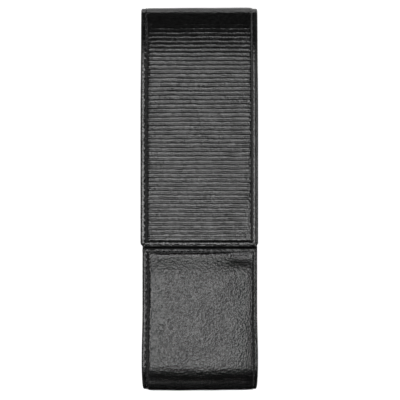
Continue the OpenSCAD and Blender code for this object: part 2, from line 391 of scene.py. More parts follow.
def hem_depth(x, s, end_s, towards, seam_v, slack):
    """Depth of the pressed hem and its seams, and how much of the padding has risen."""
    u, v, e = edge_distance(x, s, end_s, towards)
    pull = np.cos(2 * np.pi * s / SEAM_PITCH)
    end_pull = np.cos(2 * np.pi * (x - 0.6 * v) / SEAM_PITCH)
    end_risen = swell(v + END_PUCKER * end_pull, seam_v + 0.1, 0.28)
    risen = side_swell(x, s, u + PUCKER * pull, slack) * end_risen
    holes = (1 + 0.8 * pull) * (v > seam_v)
    stitched = groove(u, seam_at(x, s), HOLE_D, np.where(x < 0, 0.35, 0.24)) * holes
    stitched_end = groove(v, seam_v, END_HOLE_D, 0.22) * (u > seam_at(x, s))
    thinned = HEM_SLOPE * seam_v * np.clip(seam_v - v, 0, seam_v)
    edge_r = EDGE_R + 0.3 * eased(v - u + 0.5)
    creased = groove(e, 0.42 * seam_at(x, s), CREASE_D, 0.13) * (x > 0) * eased(v - u)
    depth = drop_at(s) * (1 - risen) + creased + stitched + stitched_end + thinned + rolled(e, edge_r)
    return depth, risen, u, v, e


def fold_share(s):
    """1 in the two folds, 0 on the stiff stretches, eased over a millimetre."""
    front = eased((s - START["front_fold"]) / 1.2) * eased((END["front_fold"] - s) / 1.2)
    back = eased((s - START["back_fold"]) / 1.2) * eased((END["back_fold"] - s) / 1.2)
    return np.maximum(front, back)


def step_at(place):
    """Two close places, on both sides of a step in a layer's inner face."""
    return [place - 0.04, place + 0.04]


HOLLOW = low_high("facing_board")[1][0]
hem_columns = joined(
    spaced(0, 0.9, 0.15), spaced(0.9, 1.3, 0.1), spaced(1.3, 2.0, 0.23),
    spaced(2.0, 3.2, 0.15), spaced(3.2, 4.0, 0.27),
)
print("places across a hem:", len(hem_columns), "hollow half width", round(HOLLOW, 2))

# %% [markdown]
# ## The facing, bottom and back
# This is the longest stretch of the strip. Its padded facing swells a little, thins towards the
# mouth, and has one soft dent where the flap's corner has pressed it. It runs round the case's back
# fold.

# %% Pocket strip
MOUTH_TAPER = 0.66
LIP_H = 0.05
DENT_D = 0.5


def crown(x, height):
    """The padding is fullest in the middle of the width."""
    return height * (1 - np.clip(np.abs(x) / (BODY_HALF - 3), 0, 1) ** 2.4)


def facing_swell(x, s):
    """How far the padded facing stands out, in millimetres."""
    to_mouth = MOUTH_S - s
    tapered = -MOUTH_TAPER * (1 - eased((to_mouth - 0.8) / 11))
    lip = LIP_H * hump(to_mouth, 2.8, 0.45)
    dent = -DENT_D * hump(x, 19, 7.5) * hump(to_mouth, 4.2, 2.6)
    on_facing = eased((s - START["facing"] + 4) / 8)
    return crown(x, 0.18) - 0.005 * x + (tapered + lip + dent) * on_facing + ripple(x, s, 11, 0.04, 16)


def pocket_outer(x, s):
    depth, risen, _, _, _ = hem_depth(x, s, MOUTH_S, -1, MOUTH_SEAM, 0.38)
    return depth - risen * facing_swell(x, s)


def pocket_inner(x, s):
    _, _, e = edge_distance(x, s, MOUTH_S, -1)
    hem = STACK_D - 0.9 * fold_share(s)
    hollow = (np.abs(x) < HOLLOW) & (s < MOUTH_S - END_HEM_W - LEATHER_T)
    return np.where(hollow, LEATHER_T - facing_swell(x, s) * swell(e), hem - rolled(e, 0.85))


side_places = joined(hem_columns, step_at(BODY_HALF - HOLLOW))
middle_places = spaced(0, BODY_HALF - 4.4, 1.25)


def columns_for(half):
    return mirrored(joined(half - side_places, middle_places))


def fit_width(x, s, nominal):
    """Stretches the cut's flat width to the width that the strip has at s."""
    return x * half_width(s) / nominal


def pocket_plan(x, s):
    return round_corner(fit_width(x, s, BODY_HALF), s, MOUTH_S, -1, 0.8)


end_rows = joined(MOUTH_S - hem_columns, step_at(MOUTH_S - END_HEM_W - LEATHER_T))
pocket_rows = joined(
    spaced(MID_BRIDGE, END["back_fold"] + 1, 0.4),
    spaced(END["back_fold"] + 1, START["bottom_back"], 0.8),
    spaced(START["bottom_back"], START["facing"] + 2, 0.5),
    spaced(START["facing"] + 2, MOUTH_S - 10, 0.62),
    spaced(MOUTH_S - 10, MOUTH_S - 4, 0.5),
    end_rows,
)
pocket_strip, *_ = strip(
    "pocket_strip", columns_for(BODY_HALF), pocket_rows, pocket_outer, pocket_inner, pocket_plan,
)
smooth(pocket_strip)
size_line(pocket_strip)

# %% [markdown]
# ## The ribbed flap
# The flap's leather is pressed on a heated plate that leaves low ribs with flat crests and narrow
# valleys between them. The ribs run a little unevenly, end beside the hems and die out towards the
# folded top. Rows of points follow each rib's crest and flanks, so the relief is in the mesh itself.
# The plate burnishes the crests and leaves the valleys dull, so a value for that is kept on each
# point, for the finish to read later.

# %% Flap strip
RIB_PITCH = 1.8
RIB_H = 0.1
CREST_HALF = 0.38
FLANK_W = 0.25
RIBS_START = FLAP_END_SEAM + 0.3
RIBS_END = START["front_fold"] - 0.9
RIBS_FADE = 12
rib_count = int((RIBS_END - RIBS_START) / RIB_PITCH)


def wander(x, s):
    """How far a rib strays from its straight line."""
    return 0.06 * np.sin(x / 4.1 + s / 9) + 0.045 * np.sin(x / 1.7 - s / 5) + 0.045 * np.sin(x / 0.7 + s)


def ribbed_share(x, s):
    """1 in the ribbed field and 0 past its edges."""
    u = half_width(s) - np.abs(x)
    faded = np.where(x < 0, eased((u - 2.5) / 0.8), eased((u - 2.3) / (0.8 + 3 * np.exp(-s / 30))))
    return faded * eased((s - RIBS_START + 0.3) / 0.6) * eased((RIBS_END - s) / RIBS_FADE)


def rib(x, s):
    """1 on the flat crest of a rib and 0 in the valley."""
    place = (s - RIBS_START + wander(x, s)) / RIB_PITCH
    away = np.abs(place - np.floor(place) - 0.5) * RIB_PITCH
    strength = 0.86 + 0.14 * np.sin(x / 2.3 + 3 * np.sin(s / 7))
    return eased((CREST_HALF + FLANK_W - away) / FLANK_W) * strength


def flap_swell(x, s):
    return crown(x, 0.06) + 0.006 * x + ripple(x, s, 23, 0.03, 18)


def flap_outer(x, s):
    depth, risen, _, _, _ = hem_depth(x, s, 0, 1, FLAP_END_SEAM, 0.0)
    valley = RIB_H * (1 - rib(x, s) * ribbed_share(x, s)) * eased((RIBS_END + 2 - s) / 4)
    ridge = groove(s, START["front_fold"] - 0.2, 0.11, 0.3)
    return depth - risen * (flap_swell(x, s) - valley + ridge)


def flap_inner(x, s):
    _, _, e = edge_distance(x, s, 0, 1)
    stiff = FLAP_STACK_D + (STACK_D - FLAP_STACK_D) * eased((s - START["front_fold"]) / 3)
    hem = stiff - (stiff - 1.9) * fold_share(s)
    hollow = (np.abs(x) < HOLLOW + 0.3) & (s > END_HEM_W + LEATHER_T)
    return np.where(hollow, LEATHER_T - flap_swell(x, s) * swell(e), hem - rolled(e, 0.75))


def flap_plan(x, s):
    """Lets the rows of points follow the ribs, and rounds the corners."""
    x = fit_width(x, s, FLAP_HALF)
    return round_corner(x, s - wander(x, s) * ribbed_share(x, s), 0, 1)


half_rib = CREST_HALF + FLANK_W * np.array([0, 0.35, 0.65, 1])
rib_places = np.concatenate([-half_rib, [0], half_rib])
flap_rows = joined(
    hem_columns,
    spaced(END_HEM_W, RIBS_START, 0.2),
    (RIBS_START + RIB_PITCH * (np.arange(rib_count)[:, None] + 0.5) + rib_places).ravel(),
    step_at(END_HEM_W + LEATHER_T),
    spaced(RIBS_START + rib_count * RIB_PITCH, MID_BRIDGE, 0.4),
)
flap_rows = flap_rows[np.append(True, np.diff(flap_rows) > 0.03)]
flap_strip, flap_x, flap_s, flap_top = strip(
    "flap_strip", columns_for(FLAP_HALF), flap_rows, flap_outer, flap_inner, flap_plan,
)
crest = flap_strip.data.attributes.new("crest", "FLOAT", "POINT")
polish = 1 - ribbed_share(flap_x, flap_s) * (1 - rib(flap_x, flap_s))
crest.data.foreach_set("value", np.where(flap_top, polish, 0.5).astype(np.float32))
smooth(flap_strip)
size_line(flap_strip)

# %% [markdown]
# ## Layers under the leather
# The inner pocket is a thinner strip of the same leather, whose top edge shows when the case is
# open. The foam follows the swell of the leather over it. The linings are thin suede. All of them
# are cut with the same function, from wider rows, because they have no fine relief.

# %% Inner pocket, foam and linings
FOAM_T = 0.8
FLAP_FOAM_T = 0.5
LINING_T = 0.4
SIDE_X = GUSSET_X - 0.02


def plain_columns(half, edge=0.5):
    return mirrored(joined(half - spaced(0, edge, edge / 4), spaced(0, half - edge, 1.6)))


def layer(name, half, s_from, s_to, outer_d, inner_d, step=1.0, more_rows=()):
    """A thin layer with softly rounded edges, between two depths that may change with x and s."""
    outer_of = outer_d if callable(outer_d) else lambda x, s: outer_d
    inner_of = inner_d if callable(inner_d) else lambda x, s: inner_d
    edge_r = 0.3 if callable(outer_d) else 0.45 * (inner_of(0, s_from) - outer_d)
    full_width = half == BODY_HALF

    def plan(x, s):
        return (fit_width(x, s, BODY_HALF) if full_width else x), s

    def edge(x, s):
        half_here = half_width(s) if full_width else half
        return np.minimum(half_here - np.abs(x), np.minimum(s - s_from, s_to - s))

    ends = spaced(0, 0.5, 0.125)
    rows = joined(s_from + ends, spaced(s_from + 0.5, s_to - 0.5, step), s_to - ends, more_rows)
    piece, *_ = strip(
        name, plain_columns(half), rows,
        lambda x, s: outer_of(x, s) + rolled(edge(x, s), edge_r),
        lambda x, s: inner_of(x, s) - rolled(edge(x, s), edge_r),
        plan,
    )
    smooth(piece)
    size_line(piece)
    return piece


def wall_relief(x, s):
    """The inner wall's creased top edge, its seam's groove, and the step where the facing presses it."""
    down = END["wall"] - s
    pressed = 0.34 * eased((MOUTH_S + 0.55 - s) / 0.75)
    return STACK_D + groove(down, 1.0, 0.1, 0.16) + groove(down, END_HEM_W, 0.16, 0.3) + pressed


gap_rows = spaced(MOUTH_S - 0.5, MOUTH_S + 0.9, 0.14)
pocket_sheet = layer(
    "inner_pocket", BODY_HALF, START["back"], END["wall"], wall_relief, WALL_D, 0.6, gap_rows,
)


def under(swell_of):
    """The depth just under the leather, where a foam follows its swell."""
    return lambda x, s: LEATHER_T - swell_of(x, s) * swell(BODY_HALF - np.abs(x))


facing_foam = layer(
    "facing_foam", HOLLOW - 0.02, START["facing"], MOUTH_S - END_HEM_W - LEATHER_T,
    under(facing_swell), LEATHER_T + FOAM_T,
)
back_foam = layer(
    "back_foam", HOLLOW - 0.02, START["back"], END["back"], under(facing_swell), LEATHER_T + FOAM_T,
)
flap_foam = layer(
    "flap_foam", HOLLOW + 0.28, END_HEM_W + LEATHER_T, START["front_fold"],
    under(flap_swell), LEATHER_T + FLAP_FOAM_T,
)
wall_suede = layer(
    "wall_suede", SIDE_X, START["facing"], END["wall"], WALL_LINING_D, WALL_LINING_D + LINING_T,
)
pocket_suede = layer(
    "pocket_suede", SIDE_X, START["back"], START["facing"], WALL_D, WALL_D + LINING_T, 0.7,
)


def lining_depths(stiff_outer, stiff_inner, pocket_end=0.0):
    """Depths of a lining that dips from the stiff stretches into a fold."""

    def outer(x, s):
        return stiff_outer(s) + (LEATHER_T - stiff_outer(s)) * fold_share(s)

    def inner(x, s):
        covered = pocket_end * (1 - eased((END["back_fold"] - s) / 1.4))
        return stiff_inner(s) + (LEATHER_T + LINING_T - stiff_inner(s)) * fold_share(s) + covered

    return outer, inner


def on_bridge(s):
    """0 on the flap's side of the front fold and 1 on the bridge."""
    return eased((s - START["front_fold"] - 1.5) / 2)


flap_outer_d, flap_inner_d = lining_depths(
    lambda s: FLAP_STACK_D - LINING_T + (STACK_D - FLAP_STACK_D) * on_bridge(s),
    lambda s: FLAP_STACK_D + (STACK_D - FLAP_STACK_D) * on_bridge(s),
)
flap_suede = layer(
    "flap_suede", HOLLOW + 0.28, END_HEM_W + LEATHER_T, MID_BRIDGE, flap_outer_d, flap_inner_d, 0.7,
)
top_outer_d, top_inner_d = lining_depths(lambda s: STACK_D - LINING_T, lambda s: STACK_D, 1.1)
top_suede = layer("top_suede", HOLLOW, MID_BRIDGE, END["back_fold"], top_outer_d, top_inner_d, 0.4)

# %% [markdown]
# ## Seams
# One stitch is a short piece of two-ply thread that rises out of one hole and dips into the next. It
# is modelled once, flat, and an Array makes the copies, spread out so that each can be told apart.
# Then every copy is laid at its own hole and wrapped with the leather, so the stitches follow the
# folds and the round bottom.

# %% One stitch, and seams made of it
THREAD_W = 0.42
STITCH_L = 2.1
PLY_TWIST = 150
SPREAD = 10.0
END_SEAM_SHORT = 7


def stitch(name, slant):
    """A twisted stitch that lies along the y axis, in millimetres."""
    deselect()
    bpy.ops.mesh.primitive_circle_add(
        vertices=6, radius=THREAD_W / 2, fill_type="NGON", rotation=(math.pi / 2, 0, 0),
    )
    piece = called(name)
    bpy.ops.object.transform_apply(location=False, rotation=True, scale=False)
    bpy.ops.object.mode_set(mode="EDIT")
    bpy.ops.mesh.select_all(action="SELECT")
    rings = 6
    for _ in range(rings):
        bpy.ops.mesh.extrude_region_move(TRANSFORM_OT_translate={"value": (0, STITCH_L / rings, 0)})
    bpy.ops.mesh.select_all(action="SELECT")
    bpy.ops.mesh.normals_make_consistent(inside=False)
    bpy.ops.object.mode_set(mode="OBJECT")
    p = points_of(piece)
    along = p[:, 1] / STITCH_L
    twist = along * math.radians(PLY_TWIST)
    ply = 1 + 0.14 * np.cos(2 * np.arctan2(p[:, 2], p[:, 0]))
    across, up = p[:, 0] * ply, p[:, 2] * ply
    turned_x = across * np.cos(twist) - up * np.sin(twist)
    turned_z = across * np.sin(twist) + up * np.cos(twist)
    narrow = 0.55 + 0.45 * np.sin(np.pi * along)
    arch = 0.1 - 0.5 * (2 * along - 1) ** 4
    y = (along - 0.5) * STITCH_L
    a = math.radians(slant)
    x = turned_x * narrow
    laid_x = x * math.cos(a) - y * math.sin(a)
    laid_y = x * math.sin(a) + y * math.cos(a)
    set_points(piece, np.column_stack([laid_x, laid_y, turned_z * narrow * 0.8 + arch]))
    return piece


def seam(name, start, step, count, surface, slant=9, turned=False):
    """Copies of a stitch from a flat place (x, s), a step apart, laid on a surface."""
    piece = stitch(name, slant)
    each = len(piece.data.vertices)
    apply_modifier(
        piece, "ARRAY", count=count, use_relative_offset=False, use_constant_offset=True,
        constant_offset_displace=(0, 0, SPREAD),
    )
    number = np.repeat(np.arange(count), each)
    local = points_of(piece) - np.outer(number, (0, 0, SPREAD))
    if turned:
        local = local[:, [1, 0, 2]] * [-1, 1, 1]
    centre = np.array(start)[None, :] + np.outer(number, step)
    if not turned:
        centre[:, 0] = start[0] * (half_width(centre[:, 1]) - seam_at(start[0], centre[:, 1]))
    x, s = centre[:, 0] + local[:, 0], centre[:, 1] + local[:, 1]
    lift = surface(centre[:, 0], centre[:, 1])
    set_points(piece, wrap(x, s, lift - local[:, 2]))
    smooth(piece, 80)
    size_line(piece)
    return piece


def join(name, *parts):
    """Several pieces as one object."""
    deselect()
    for part in parts:
        part.select_set(True)
    bpy.context.view_layer.objects.active = parts[0]
    bpy.ops.object.join()
    return called(name)


def hem_surface(x, s):
    return drop_at(s) + 0.06


def side_seam(name, side, s_from, s_to):
    """A seam along one side, in the hem."""
    count = int((s_to - s_from) / SEAM_PITCH)
    step = (s_to - s_from) / count
    return seam(name, (side, s_from + step / 2), (0, step), count, hem_surface, 9 * side)


def end_seam(name, s_at, half, surface, slant):
    """A seam across an end, short of the corners."""
    count = int((2 * half - END_SEAM_SHORT) / SEAM_PITCH)
    first = (-(count - 1) / 2 * SEAM_PITCH, s_at)
    return seam(name, first, (SEAM_PITCH, 0), count, surface, slant, turned=True)


pocket_seams = join(
    "pocket_seams",
    side_seam("left", -1, MID_BRIDGE, MOUTH_S - MOUTH_SEAM),
    side_seam("right", 1, MID_BRIDGE, MOUTH_S - MOUTH_SEAM),
    end_seam("mouth", MOUTH_S - MOUTH_SEAM, BODY_HALF, hem_surface, 14),
)
flap_seams = join(
    "flap_seams",
    side_seam("flap_left", -1, FLAP_END_SEAM, MID_BRIDGE),
    side_seam("flap_right", 1, FLAP_END_SEAM, MID_BRIDGE),
    end_seam("flap_end", FLAP_END_SEAM, FLAP_HALF, hem_surface, 30),
)
wall_seam = end_seam(
    "wall_seam", END["wall"] - END_HEM_W, BODY_HALF, lambda x, s: np.full_like(x, STACK_D + 0.04), 10
)

# %% [markdown]
# ## Gussets
# Each side of the pocket is closed by a folded piece of thin leather. Its flange is caught in the
# side seam, and its web is set in from the edge with a soft crease down the middle. The crease lies
# half way between the front and the back, and round the bottom the web gathers to one point, so the
# piece is a grid from the flange to that middle line, with its two halves merged there.

# %% Two gussets
GUSSET_T = 0.7
BEND_R = 0.6
FLANGE_D = WALL_D + GUSSET_T
CREASE_IN = 1.0
GUSSET_ROWS = 60
TURN_ROWS = 36
mid_z = CASE_T / 2
crease_foot_y = BOTTOM_Y + mid_z
crease_top_y = (GUSSET_TOP_Y + WALL_TOP_Y) / 2


def gusset(name, side):
    """One gusset, swept from the flange to the crease line in its middle."""
    s_all = np.concatenate([
        np.linspace(END["wall"], START["facing"], GUSSET_ROWS),
        np.linspace(START["facing"], END["back"], TURN_ROWS)[1:-1],
        np.linspace(END["back"], START["back"] + BACK_END_Y - GUSSET_TOP_Y, GUSSET_ROWS),
    ])
    crease_y = np.concatenate([
        np.linspace(crease_top_y, crease_foot_y, GUSSET_ROWS),
        np.full(TURN_ROWS - 2, crease_foot_y),
        np.linspace(crease_foot_y, crease_top_y, GUSSET_ROWS),
    ])
    flange_in = GUSSET_X + GUSSET_T + BEND_R
    flange_share = np.linspace(1, 0, 5)
    bend = np.radians(np.linspace(0, 90, 5))[1:]
    web = eased(np.linspace(0, 1, 14))[1:]
    across = len(flange_share) + len(bend) + len(web)
    deselect()
    bpy.ops.mesh.primitive_grid_add(x_subdivisions=across - 1, y_subdivisions=len(s_all) - 1, size=2)
    piece = called(name)
    grid = points_of(piece)
    i = np.rint((grid[:, 0] + 1) / 2 * (across - 1)).astype(int)
    j = np.rint((grid[:, 1] + 1) / 2 * (len(s_all) - 1)).astype(int)
    corner_x = flange_in - BEND_R * np.sin(bend)
    corner_d = FLANGE_D + BEND_R * (1 - np.cos(bend))
    web_x = GUSSET_X + GUSSET_T - CREASE_IN * web ** 2
    x = np.concatenate([np.full(len(flange_share), flange_in), corner_x, web_x])[i]
    flange = np.concatenate([flange_share, np.zeros(len(bend) + len(web))])[i]
    x = x + flange * (half_width(s_all[j]) - 0.05 - flange_in)
    d = np.concatenate([np.full(len(flange_share), FLANGE_D), corner_d, np.full(len(web), corner_d[-1])])[i]
    share = np.concatenate([np.zeros(len(flange_share) + len(bend)), web])[i]
    rim = wrap(0 * x, s_all[j], d) / MM
    y = rim[:, 1] + (crease_y[j] - rim[:, 1]) * share
    z = rim[:, 2] + (mid_z - rim[:, 2]) * share
    x = x - 0.12 * share * np.sin(y / 5.3) - 0.05 * share * np.sin(y / 1.9 + z)
    set_points(piece, np.column_stack([side * x + askew(s_all[j]) * (1 - share), y, z]) * MM)
    bpy.ops.object.mode_set(mode="EDIT")
    bpy.ops.mesh.select_all(action="SELECT")
    bpy.ops.mesh.remove_doubles(threshold=0.00002)
    bpy.ops.mesh.normals_make_consistent(inside=False)
    bpy.ops.object.mode_set(mode="OBJECT")
    web_normal = np.mean([f.normal.x for f in piece.data.polygons])
    if web_normal * side < 0:
        bpy.ops.object.mode_set(mode="EDIT")
        bpy.ops.mesh.select_all(action="SELECT")
        bpy.ops.mesh.flip_normals()
        bpy.ops.object.mode_set(mode="OBJECT")
    apply_modifier(piece, "SOLIDIFY", thickness=(GUSSET_T - 0.02) * MM, offset=-1, use_even_offset=True)
    smooth(piece, 60)
    size_line(piece)
    return piece


left_gusset = gusset("gusset_left", -1)
right_gusset = gusset("gusset_right", 1)

# %% [markdown]
# ## Hard pieces from the frame
# The boards, the stays, the magnets and the divider already have their right shapes in the frame.
# Their meshes are never changed, but a modifier may soften what is seen: Weld closes the loose
# triangles, and Bevel rounds the cut edges.

# %% Soften the cut edges
def soften(node, width):
    """Rounds the edges of a node of the frame with live modifiers."""
    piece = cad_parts[node]
    weld = piece.modifiers.new("Weld", "WELD")
    weld.merge_threshold = 0.000005
    bevel = piece.modifiers.new("Bevel", "BEVEL")
    bevel.width = width * MM
    bevel.segments = 3
    bevel.limit_method = "ANGLE"
    bevel.angle_limit = math.radians(50)
    return piece


boards = [soften(node, 0.12) for node in (
    "facing_board", "back_board", "bottom_stay", "wall_board", "bridge_stay", "flap_board",
)]
magnets = [soften(node, 0.15) for node in ("catch_magnets", "flap_magnets")]
divider = soften("pen_divider", 0.3)
print("softened:", len(boards) + len(magnets) + 1)

# %% [markdown]
# ## Finishes
# Each finish starts from the real material. Colours are written as sRGB hex, as a colour picker
# shows them, and one function turns them into the linear values that Blender works with. Pattern
# sizes are written in millimetres, so the scale of a texture is one over its size in metres.

# %% Helpers for materials
def colour(code):
    """Linear RGBA for an sRGB hex code."""
    parts = [int(code[i:i + 2], 16) / 255 for i in (1, 3, 5)]
    return [c / 12.92 if c <= 0.04045 else ((c + 0.055) / 1.055) ** 2.4 for c in parts] + [1]


def per_mm(size):
    """A texture's scale for features of that size in millimetres."""
    return 1 / (size * MM)


def new_finish(name):
    finish = bpy.data.materials.new(name)
    finish.use_nodes = True
    finish.node_tree.nodes.clear()
    return finish, finish.node_tree


def add(tree, kind, links=(), **settings):
    """Adds a node with its settings. links pairs a socket with a value or with another's output."""
    node = tree.nodes.new(kind)
    for setting, value in settings.items():
        setattr(node, setting, value)
    for socket, value in links:
        if isinstance(value, bpy.types.NodeSocket):
            tree.links.new(value, node.inputs[socket])
        else:
            node.inputs[socket].default_value = value
    return node


def wear(piece, finish, body=None):
    """Gives a piece its finish and its body."""
    piece.data.materials.clear()
    piece.data.materials.append(finish)
    if body:
        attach(piece, body)


# %% [markdown]
# ### Nappa calf leather
# Full-grain calf, dyed through and finished with a thin satin film. Its grain is fine, about 0.4 mm,
# and is drawn about twice as coarse so that it shows. The film makes it a dielectric with a broad
# soft highlight. Rubbed places are smoother, and the valleys between ribs stay dull.

# %% Leather
MOTTLE = 1.2


def leather(name, base, worn, rough, grain_strength=0.86, ribbed=False):
    """A leather of two tones. rough is its roughness where dull and where rubbed."""
    finish, tree = new_finish(name)
    place = add(tree, "ShaderNodeTexCoord").outputs["Object"]
    pores = add(tree, "ShaderNodeTexVoronoi", [
        ("Vector", place), ("Scale", per_mm(0.8)), ("Smoothness", 0.25),
    ], feature="SMOOTH_F1")
    creases = add(tree, "ShaderNodeTexNoise", [
        ("Vector", place), ("Scale", per_mm(0.7)), ("Detail", 3.0), ("Roughness", 0.6),
    ])
    broad = add(tree, "ShaderNodeTexNoise", [("Vector", place), ("Scale", per_mm(12)), ("Detail", 2.0)])
    rubbed = broad.outputs["Fac"]
    if ribbed:
        rubbed = add(tree, "ShaderNodeAttribute", attribute_name="crest").outputs["Fac"]
    uneven = add(tree, "ShaderNodeMath", [(0, creases.outputs["Fac"]), (1, 0.5)], operation="SUBTRACT")
    patchy = add(tree, "ShaderNodeMath", [
        (0, uneven.outputs[0]), (1, MOTTLE), (2, rubbed),
    ], operation="MULTIPLY_ADD")
    film = add(tree, "ShaderNodeMapRange", [
        ("Value", creases.outputs["Fac"]), ("From Min", 0.42), ("From Max", 0.6),
    ])
    tint = add(tree, "ShaderNodeMix", [
        ("Factor", film.outputs["Result"]), ("A", colour(base)), ("B", colour(worn)),
    ], data_type="RGBA")
    gloss = add(tree, "ShaderNodeMapRange", [
        ("Value", patchy.outputs[0]), ("To Min", rough[0]), ("To Max", rough[1]),
    ])
    grain = add(tree, "ShaderNodeMath", [
        (0, pores.outputs["Distance"]), (1, creases.outputs["Fac"]),
    ], operation="ADD")
    bump = add(tree, "ShaderNodeBump", [
        ("Height", grain.outputs[0]), ("Strength", grain_strength), ("Distance", 0.1 * MM),
    ])
    shader = add(tree, "ShaderNodeBsdfPrincipled", [
        ("Base Color", tint.outputs["Result"]), ("Roughness", gloss.outputs["Result"]),
        ("IOR", 1.5), ("Normal", bump.outputs["Normal"]),
    ])
    add(tree, "ShaderNodeOutputMaterial", [("Surface", shader.outputs[0])])
    return finish


smooth_calf = leather("nappa_calf_leather", "#050505", "#161616", (0.25, 0.17))
ribbed_calf = leather("plate_ribbed_calf_leather", "#070707", "#1f1f1f", (0.28, 0.15), 0.6, ribbed=True)
pocket_calf = leather("thin_calf_leather", "#090909", "#1a1a1a", (0.42, 0.36))
print("leathers:", [finish.name for finish in (smooth_calf, ribbed_calf, pocket_calf)])

# %% [markdown]
# ### Suede lining, boards, foam, magnets and thread
# Suede is dull, with brushed patches of nap. Greyboard is pressed paper with short fibres. The foam
# is open-celled polyurethane. The magnets are nickel-plated steel discs, so they are the one metal
# here. The thread is bonded polyester, with a slight shine along its plies.

# %% The other finishes
def suede(name, base, brushed):
    """A dull nap with broad patches where it was brushed the other way."""
    finish, tree = new_finish(name)
    place = add(tree, "ShaderNodeTexCoord").outputs["Object"]
    nap = add(tree, "ShaderNodeTexNoise", [("Vector", place), ("Scale", per_mm(0.35)), ("Detail", 4.0)])
    strokes = add(tree, "ShaderNodeTexNoise", [
        ("Vector", place), ("Scale", per_mm(9)), ("Detail", 3.0), ("Distortion", 0.6),
    ])
    tint = add(tree, "ShaderNodeMix", [
        ("Factor", strokes.outputs["Fac"]), ("A", colour(base)), ("B", colour(brushed)),
    ], data_type="RGBA")
    bump = add(tree, "ShaderNodeBump", [
        ("Height", nap.outputs["Fac"]), ("Strength", 0.6), ("Distance", 0.08 * MM),
    ])
    shader = add(tree, "ShaderNodeBsdfPrincipled", [
        ("Base Color", tint.outputs["Result"]), ("Roughness", 0.92), ("Sheen Weight", 0.5),
        ("Sheen Roughness", 0.4), ("Normal", bump.outputs["Normal"]),
    ])
    add(tree, "ShaderNodeOutputMaterial", [("Surface", shader.outputs[0])])
    return finish


def speckled(name, base, fleck, size, deep, rough, metallic=0.0):
    """A plain stuff with fine flecks and a bump to match: board, foam, plating or thread."""
    finish, tree = new_finish(name)
    place = add(tree, "ShaderNodeTexCoord").outputs["Object"]
    flecks = add(tree, "ShaderNodeTexNoise", [
        ("Vector", place), ("Scale", per_mm(size)), ("Detail", 5.0), ("Roughness", 0.65),
    ])
    tint = add(tree, "ShaderNodeMix", [
        ("Factor", flecks.outputs["Fac"]), ("A", colour(base)), ("B", colour(fleck)),
    ], data_type="RGBA")
    gloss = add(tree, "ShaderNodeMapRange", [
        ("Value", flecks.outputs["Fac"]), ("To Min", rough * 0.85), ("To Max", min(1, rough * 1.15)),
    ])
    bump = add(tree, "ShaderNodeBump", [
        ("Height", flecks.outputs["Fac"]), ("Strength", 0.5), ("Distance", deep * MM),
    ])
    shader = add(tree, "ShaderNodeBsdfPrincipled", [
        ("Base Color", tint.outputs["Result"]), ("Roughness", gloss.outputs["Result"]),
        ("Metallic", metallic), ("Normal", bump.outputs["Normal"]),
    ])
    add(tree, "ShaderNodeOutputMaterial", [("Surface", shader.outputs[0])])
    return finish


black_suede = suede("microfibre_suede_lining", "#141416", "#26262a")
greyboard = speckled("pressed_greyboard", "#7d705c", "#a39780", 0.6, 0.05, 0.85)
soft_foam = speckled("open_cell_polyurethane_foam", "#30302e", "#565650", 0.5, 0.2, 0.95)
nickel = speckled("nickel_plated_steel", "#b4b6b8", "#d4d5d6", 0.8, 0.01, 0.22, metallic=1.0)
polyester = speckled("bonded_polyester_thread", "#1a1a1c", "#303034", 0.15, 0.03, 0.42)
print("others:", [finish.name for finish in (black_suede, greyboard, soft_foam, nickel, polyester)])

# %% [markdown]
# ## Put the pieces on their bodies
# A piece on one body rides on it. The two outer strips, their seams and the linings over the folds
# cross a joint, so they are put on no body and only have their places baked in. The frame's nodes
# that the pieces stand for are hidden.

for piece, finish, slot in (
    (pocket_strip, smooth_calf, "black_leather"), (pocket_seams, polyester, "thread"),
    (top_suede, black_suede, "suede_lining"),
):
    wear(piece, finish)
    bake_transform(piece)
for piece, finish, slot in (
    (flap_strip, ribbed_calf, "ribbed_leather"), (flap_seams, polyester, "thread"),
    (flap_suede, black_suede, "suede_lining"),
):
    wear(piece, finish)
    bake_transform(piece)
for piece, finish, body, slot in (
    (pocket_sheet, pocket_calf, "pocket", "black_leather"),
    (facing_foam, soft_foam, "pocket", "foam"), (back_foam, soft_foam, "pocket", "foam"),
    (flap_foam, soft_foam, "flap", "foam"), (wall_suede, black_suede, "pocket", "suede_lining"),
    (pocket_suede, black_suede, "pocket", "suede_lining"), (wall_seam, polyester, "pocket", "thread"),
    (left_gusset, pocket_calf, "pocket", "black_leather"),
    (right_gusset, pocket_calf, "pocket", "black_leather"),
):
    wear(piece, finish, body)
for piece in boards:
    wear(piece, greyboard)
for piece in magnets:
    wear(piece, nickel)
wear(divider, black_suede)

# %% Nodes that each piece stands for
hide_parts("outer_leather", "back_fold_leather")
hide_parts("flap_leather", "front_fold_leather", "bridge_leather")
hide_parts("left_seam_thread", "right_seam_thread", "mouth_seam_thread")
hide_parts("flap_seam_thread", "bridge_seam_thread")
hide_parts("wall_seam_thread")
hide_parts("pocket_leather")
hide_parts("facing_padding")
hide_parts("back_padding")
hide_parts("flap_padding")
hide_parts("wall_lining")
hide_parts("pocket_lining")
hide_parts("back_fold_lining", "bridge_lining")
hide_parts("flap_lining", "front_fold_lining")
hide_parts("left_gusset")
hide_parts("right_gusset")


def cut_size(half, s_from, s_to):
    """The size of a sheet as it is cut, before it is folded or stretched."""
    return 2 * half * MM, (s_to - s_from) * MM


